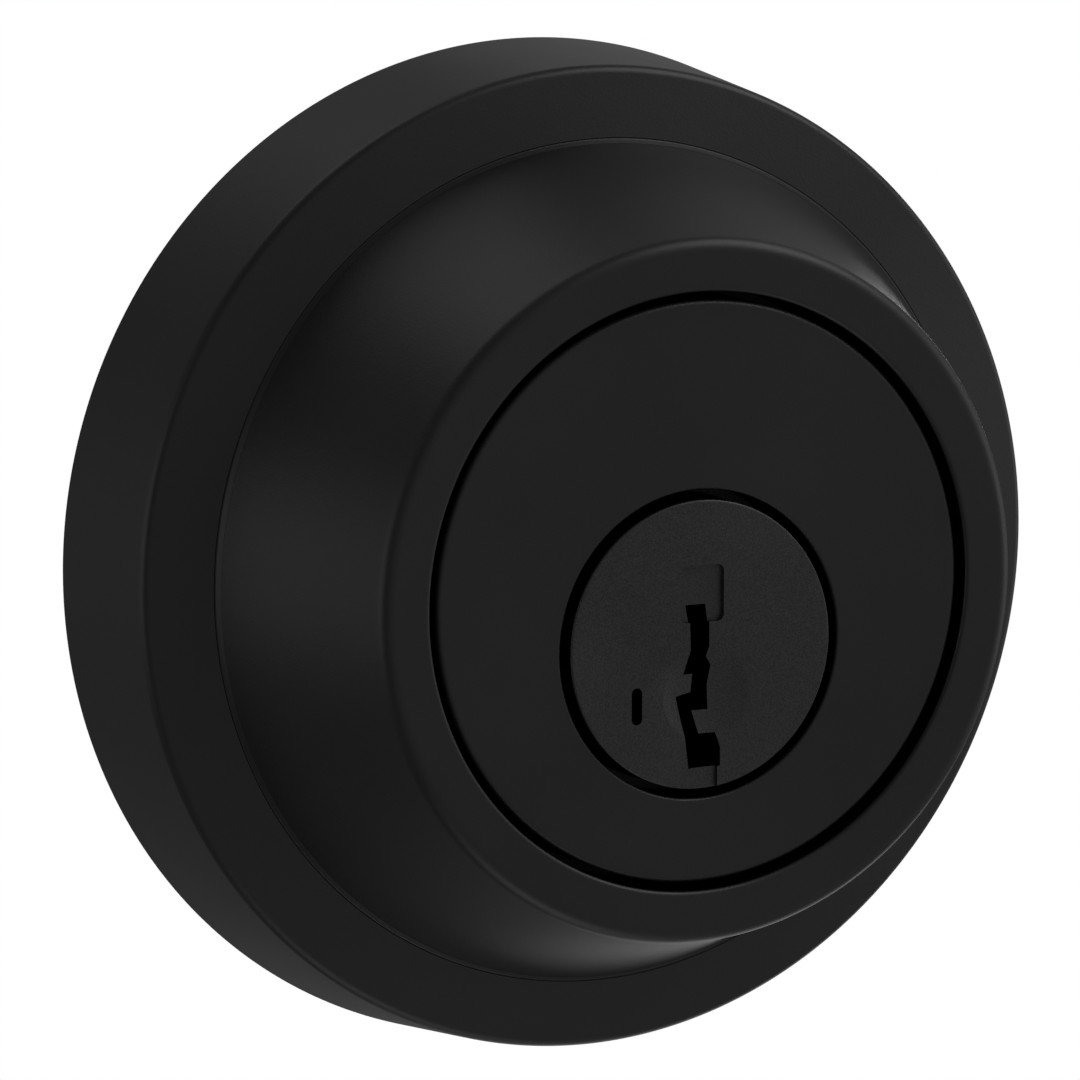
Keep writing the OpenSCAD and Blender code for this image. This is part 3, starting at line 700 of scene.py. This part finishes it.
def make_inner_rose():
    """Domed shell with a raised ring about the thumbturn's hub and a set screw's hole in its lower wall."""
    profile = [(INNER_ROSE_R - 1.6, 0), (INNER_ROSE_R - FOOT_EDGE, 0), (INNER_ROSE_R, FOOT_EDGE)]
    profile += arc(INNER_ROSE_R - INNER_ROSE_EDGE, 8.3, INNER_ROSE_EDGE, 0, 87.5, 12)
    profile += [(15.4, 10.48), (15.0, 10.53), (14.6, 10.69)]
    profile += arc(13.3, 10.9, 0.3, 65, 90, 4) + arc(HUB_R + 0.38, 10.9, 0.3, 90, 180, 6)
    profile += [(HUB_R + 0.08, 9.4), (14.5, 8.8), (INNER_ROSE_R - 2.7, 8.2), (INNER_ROSE_R - 2.4, 7.4)]
    rose = lathe("rose_shell", supported(indoors(profile)), PLUG_Z, FINE_STEPS)
    hole = lathe("rose_screw_hole", rod(SET_SCREW_R, 0, 5), 0, HOLE_STEPS)
    turn = Matrix.Rotation(math.radians(-90), 4, "X")
    spot = Matrix.Translation((0, (DOOR_T + SET_SCREW_H) * MM, (PLUG_Z - INNER_ROSE_R - PAST) * MM))
    hole.data.transform(spot @ turn)
    combine(rose, [hole], "DIFFERENCE")
    return finish_edges(rose)


def make_wing():
    """Lens-shaped grip whose outer end is crowned."""
    bow = (WING_L * WING_L + WING_T * WING_T) / (4 * WING_T)
    half = math.degrees(math.asin(WING_L / 2 / bow)) - 2
    offset = bow - WING_T / 2
    outline = arc(offset, PLUG_Z, bow, 180 - half, 180 + half, 40)
    outline += arc(-offset, PLUG_Z, bow, -half, half, 40)
    wing = prism("wing", outline, -DOOR_T - WING_FOOT, -DOOR_T - WING_TOP - PAST)
    crown = lathe("crown", rod(CROWN_R, -10, 10), 0, 256)
    spot = Matrix.Translation((0, (DOOR_T + WING_TOP - CROWN_R) * MM, PLUG_Z * MM))
    crown.data.transform(spot @ Matrix.Rotation(math.radians(90), 4, "Z"))
    combine(wing, [crown], "INTERSECT")
    return finish_edges(wing, WING_BEVEL, 25)


def make_thumbturn():
    """Hub with a clip groove and a socket for the spindle, a round skirt and the wing."""
    hub = [(SPINDLE_R, 5.5), (HUB_R - 0.3, 5.5), (HUB_R, 5.8)]
    hub += [(HUB_R, 7.3), (8.2, 7.3), (8.2, 8.5), (HUB_R, 8.5)]
    hub += [(HUB_R, 11.5), (SKIRT_R - 0.2, 11.5), (SKIRT_R, 11.7)]
    hub += arc(SKIRT_R - SKIRT_EDGE, SKIRT_H - SKIRT_EDGE, SKIRT_EDGE, 0, 90, 12)
    hub += [(0, SKIRT_H), (0, SOCKET_END), (SPINDLE_R, SOCKET_END)]
    turn = lathe("thumb_hub", supported(indoors(hub)), PLUG_Z, ROUND_STEPS)
    wing = baked(make_wing())
    return finish_edges(combine(turn, [wing], "UNION"))


# ---------------------------------------------------------------- build


def place(obj, body, node, slot_name):
    dress(obj, slot_name)
    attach(obj, body)
    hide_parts(node)


rosette, collar, cylinder, plug = OUTSIDE_TRIM = [make_rosette(), make_collar(), make_cylinder(), make_plug()]
place(rosette, "lockset", "rosette", "black")
place(collar, "guard_collar", "guard_collar", "black")
place(cylinder, "lockset", "cylinder_body", "black")
place(plug, "plug", "plug", "plug_black")
# Painted shade: an unlit black on the walls of the gaps in the collar's hole, about the cylinder's face and
# in the plug.
paint_gap_shade(collar, COLLAR_H, BARREL_TOP + 0.2, COLLAR_HOLE_R + 0.1)
paint_gap_shade(cylinder, FACE_H, BARREL_TOP, COLLAR_HOLE_R)
paint_gap_shade(plug, PLUG_H, -BODY_REAR, COLLAR_HOLE_R)
place(make_bolt(), "bolt", "bolt", "bolt_steel")
place(make_faceplate(), "lockset", "faceplate", "black")
place(make_tube(), "lockset", "latch_tube", "zinc_steel")
place(make_inner_rose(), "lockset", "interior_rose", "black")
place(make_thumbturn(), "thumbturn", "thumbturn", "black")

for part in frame["record"]["subparts"]:
    node = frame["nodes"][part["node"]]
    if not node.hide_render:
        dress(node, part["material_slot"])


# ---------------------------------------------------------------- stage


def sheet(name, half):
    """A flat square about the origin, facing up."""
    bm = bmesh.new()
    bmesh.ops.create_grid(bm, x_segments=8, y_segments=8, size=half)
    mesh = bpy.data.meshes.new(name)
    bm.to_mesh(mesh)
    bm.free()
    return new_object(name, mesh)


def make_floor():
    """Plain pale floor well below the lock, wide enough to fill the view."""
    floor = sheet("floor", FLOOR_HALF)
    floor.location = (0, 0, FLOOR_Z)
    material, tree, bsdf = shader("floor_white")
    bsdf.inputs["Base Color"].default_value = (0.93, 0.93, 0.93, 1)
    bsdf.inputs["Roughness"].default_value = 0.9
    bsdf.inputs["Specular IOR Level"].default_value = 0.0
    bsdf.inputs["Emission Color"].default_value = (1, 1, 1, 1)
    bsdf.inputs["Emission Strength"].default_value = FLOOR_GLOW
    floor.data.materials.append(material)
    floor.visible_diffuse = False
    floor.visible_glossy = False
    floor.visible_shadow = False


def from_angles(azimuth, elevation):
    """The unit vector from the lock in a direction given in degrees."""
    az, el = math.radians(azimuth), math.radians(elevation)
    return Vector((math.sin(az) * math.cos(el), -math.cos(az) * math.cos(el), math.sin(el)))


def area_light(name, direction, size, power):
    """A soft square light that faces the lock from a direction given as azimuth and elevation."""
    back = from_angles(*direction)
    data = bpy.data.lights.new(name, "AREA")
    data.shape = "SQUARE"
    data.size = size
    data.energy = power
    lamp = bpy.data.objects.new(name, data)
    bpy.context.collection.objects.link(lamp)
    lamp.location = back * LAMP_DISTANCE
    lamp.rotation_euler = (-back).to_track_quat("-Z", "Y").to_euler()
    lamp.visible_camera = False
    return lamp


def light_lock():
    """Lights the lock from outside, and what lies behind the door from inside: a door would keep that light
    from the outside trim."""
    for name, setting in OUTSIDE_LIGHTS.items():
        area_light(name, *setting)
    inside = bpy.data.collections.new("behind_door")
    for obj in bpy.context.scene.objects:
        if obj.type == "MESH" and obj not in OUTSIDE_TRIM:
            inside.objects.link(obj)
    for name, setting in ROOM_LIGHTS.items():
        area_light(name, *setting).light_linking.receiver_collection = inside


def make_world(front, behind):
    """A dim tent with one broad bright patch in front and to the right, which the front faces mirror."""
    world = bpy.data.worlds.new("studio")
    bpy.context.scene.world = world
    world.use_nodes = True
    tree = world.node_tree
    background = tree.nodes["Background"]
    background.inputs["Color"].default_value = (1, 1, 1, 1)
    facing = tree.nodes.new("ShaderNodeVectorMath")
    facing.operation = "DOT_PRODUCT"
    facing.inputs[1].default_value = PATCH_DIRECTION
    tree.links.new(tree.nodes.new("ShaderNodeTexCoord").outputs["Generated"], facing.inputs[0])
    strength = spread(tree, facing.outputs["Value"], behind, front, PATCH_START, PATCH_FULL)
    tree.links.new(strength, background.inputs["Strength"])


def make_backdrop():
    """White sheet where the door's outside face would be. It hides the latch and the inside trim from the
    front only, and it neither lights nor shades the lock."""
    backdrop = sheet("backdrop", BACKDROP_HALF)
    backdrop.rotation_euler = (math.radians(90), 0, 0)
    backdrop.location = (0, BACKDROP_Y, 0)
    material, tree, bsdf = shader("backdrop_white")
    tree.nodes.remove(bsdf)
    glow = tree.nodes.new("ShaderNodeEmission")
    clear = tree.nodes.new("ShaderNodeBsdfTransparent")
    either = tree.nodes.new("ShaderNodeMixShader")
    side = tree.nodes.new("ShaderNodeNewGeometry").outputs["Backfacing"]
    tree.links.new(side, either.inputs[0])
    tree.links.new(glow.outputs[0], either.inputs[1])
    tree.links.new(clear.outputs[0], either.inputs[2])
    tree.links.new(either.outputs[0], tree.nodes["Material Output"].inputs["Surface"])
    backdrop.data.materials.append(material)
    backdrop.visible_diffuse = False
    backdrop.visible_glossy = False
    backdrop.visible_transmission = False
    backdrop.visible_shadow = False


def make_camera():
    """Camera at the photograph's angle: back, right and up are its own axes in the row frame."""
    az = math.radians(VIEW_AZ)
    back = from_angles(VIEW_AZ, VIEW_EL)
    right = Vector((math.cos(az), math.sin(az), 0))
    up = back.cross(right)
    data = bpy.data.cameras.new("camera")
    data.lens = LENS
    data.sensor_width = SENSOR_W
    data.clip_start = 0.01
    data.clip_end = 200
    camera = bpy.data.objects.new("camera", data)
    bpy.context.collection.objects.link(camera)
    turn = Matrix((right, up, back)).transposed().to_4x4()
    spot = (back * DISTANCE - right * AIM_RIGHT - up * AIM_UP) * MM
    camera.matrix_world = Matrix.Translation(spot) @ turn
    bpy.context.scene.camera = camera


make_floor()
make_backdrop()
make_world(WORLD_FRONT, WORLD_BEHIND)
make_camera()
light_lock()
bpy.context.scene.view_settings.view_transform = "Standard"
